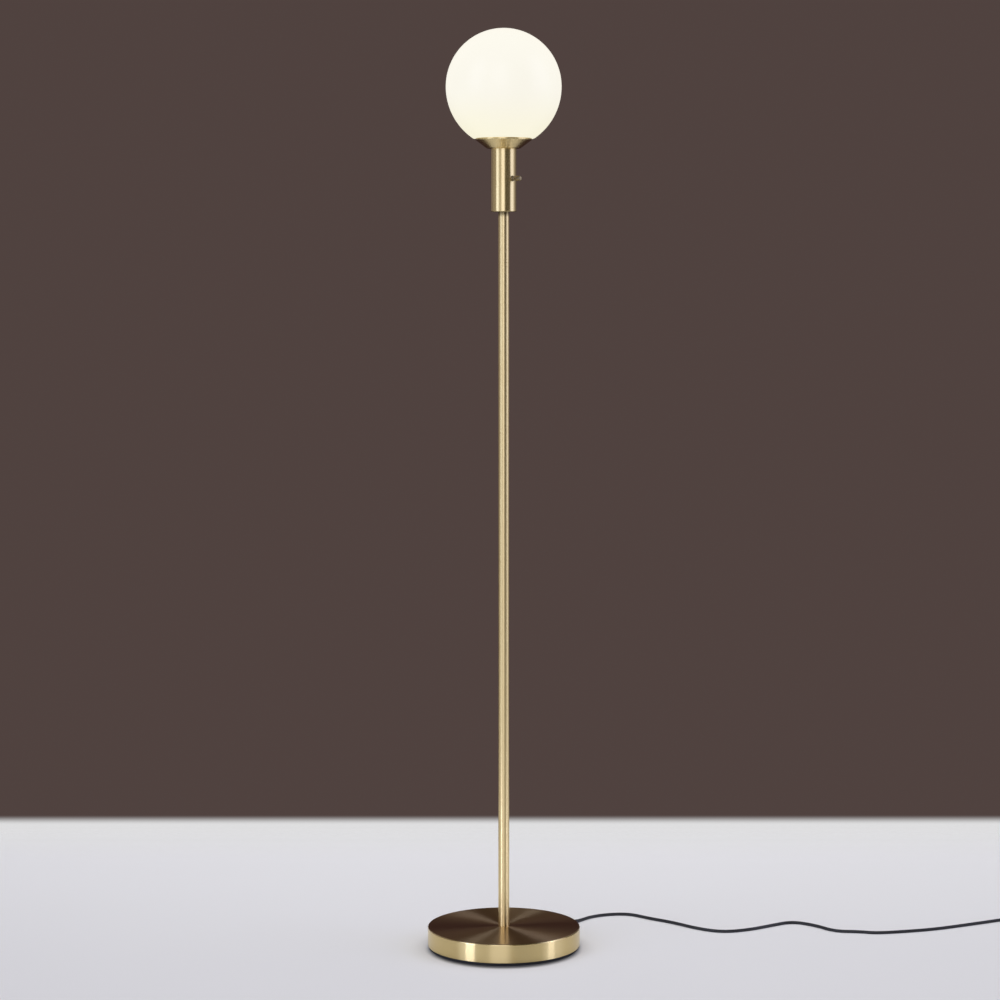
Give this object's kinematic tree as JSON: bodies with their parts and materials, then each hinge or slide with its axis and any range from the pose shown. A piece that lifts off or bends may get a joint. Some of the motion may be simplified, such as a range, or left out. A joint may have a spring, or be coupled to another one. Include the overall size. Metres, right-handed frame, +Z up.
{
  "type": "globe floor lamp",
  "caption": "Floor lamp with a weighted round base, straight slim pole, cylindrical socket housing with a turn switch, shallow cup and a lit opal glass globe.",
  "frame": {"origin": "centre of the base's underside, on the floor", "axes": "+Z up along the pole, +X to the lamp's right seen from the front, -Y the front; the turn switch points between +X and -Y"},
  "size_m": [1.0791, 0.3385, 1.5005],
  "materials": {
    "satin_brass": "satin",
    "cast_weight": "rough cast",
    "black_rubber": "matte",
    "zinc_steel": "zinc plated",
    "black_plastic": "fine matte",
    "white_plastic": "semi-gloss",
    "porcelain": "satin",
    "contact_brass": "bright",
    "nickel": "nickel plated",
    "black_glass": "glossy",
    "frosted_bulb": "frosted, lit",
    "opal_glass": "glossy opal, lit",
    "black_cord": "matte",
    "brown_wire": "matte",
    "blue_wire": "matte"
  },
  "bodies": {
    "stand": {"base_cover": "satin_brass", "base_weight": "cast_weight", "base_plate": "zinc_steel", "base_pad": "black_rubber", "base_plate_screws": "zinc_steel", "base_washer": "zinc_steel", "base_spring_washer": "zinc_steel", "base_nut": "zinc_steel", "lower_nipple": "zinc_steel", "pole_tube": "satin_brass", "pole_bush_lower": "zinc_steel", "pole_bush_upper": "zinc_steel", "upper_nipple": "zinc_steel", "socket_housing": "satin_brass", "housing_washer": "zinc_steel", "housing_nut": "zinc_steel", "shade_cup": "satin_brass", "cup_grub_screws": "satin_brass", "lampholder_body": "black_plastic", "lampholder_insert": "porcelain", "screw_shell": "contact_brass", "centre_contact": "contact_brass", "lampholder_terminals": "contact_brass", "shade_ring": "black_plastic", "switch_body": "black_plastic", "switch_back_plate": "black_plastic", "switch_saddle_washer": "satin_brass", "switch_nut": "satin_brass", "switch_terminals": "contact_brass", "cord_strain_relief": "black_rubber", "cord_clamp": "black_plastic", "cord_clamp_screws": "zinc_steel", "inner_lead": "black_cord", "wire_live": "brown_wire", "wire_neutral": "blue_wire", "wire_switched": "brown_wire", "mains_cord": "black_cord", "mains_cord_coil": "black_cord", "mains_cord_tail": "black_cord", "plug_body": "black_plastic", "plug_pins": "nickel"},
    "switch_turning_set": {"switch_knob": "satin_brass", "switch_shaft": "zinc_steel", "switch_rotor": "white_plastic"},
    "bulb": {"bulb_tip": "nickel", "bulb_insulator": "black_glass", "bulb_cap": "nickel", "bulb_collar": "white_plastic", "bulb_envelope": "frosted_bulb"},
    "globe": {"globe_shade": "opal_glass"}
  },
  "joints": [
    {"name": "switch_turn", "type": "hinge", "parent": "stand", "child": "switch_turning_set", "pos_m": [0, 0, 1.2604], "axis": [0.682, -0.7314, 0], "continuous": true},
    {"name": "globe_lift", "type": "slide", "parent": "stand", "child": "globe", "axis": [0, 0, 1], "range_m": [0, 0.12]},
    {"name": "bulb_out", "type": "slide", "parent": "stand", "child": "bulb", "axis": [0, 0, 1], "range_m": [0, 0.03]}
  ]
}
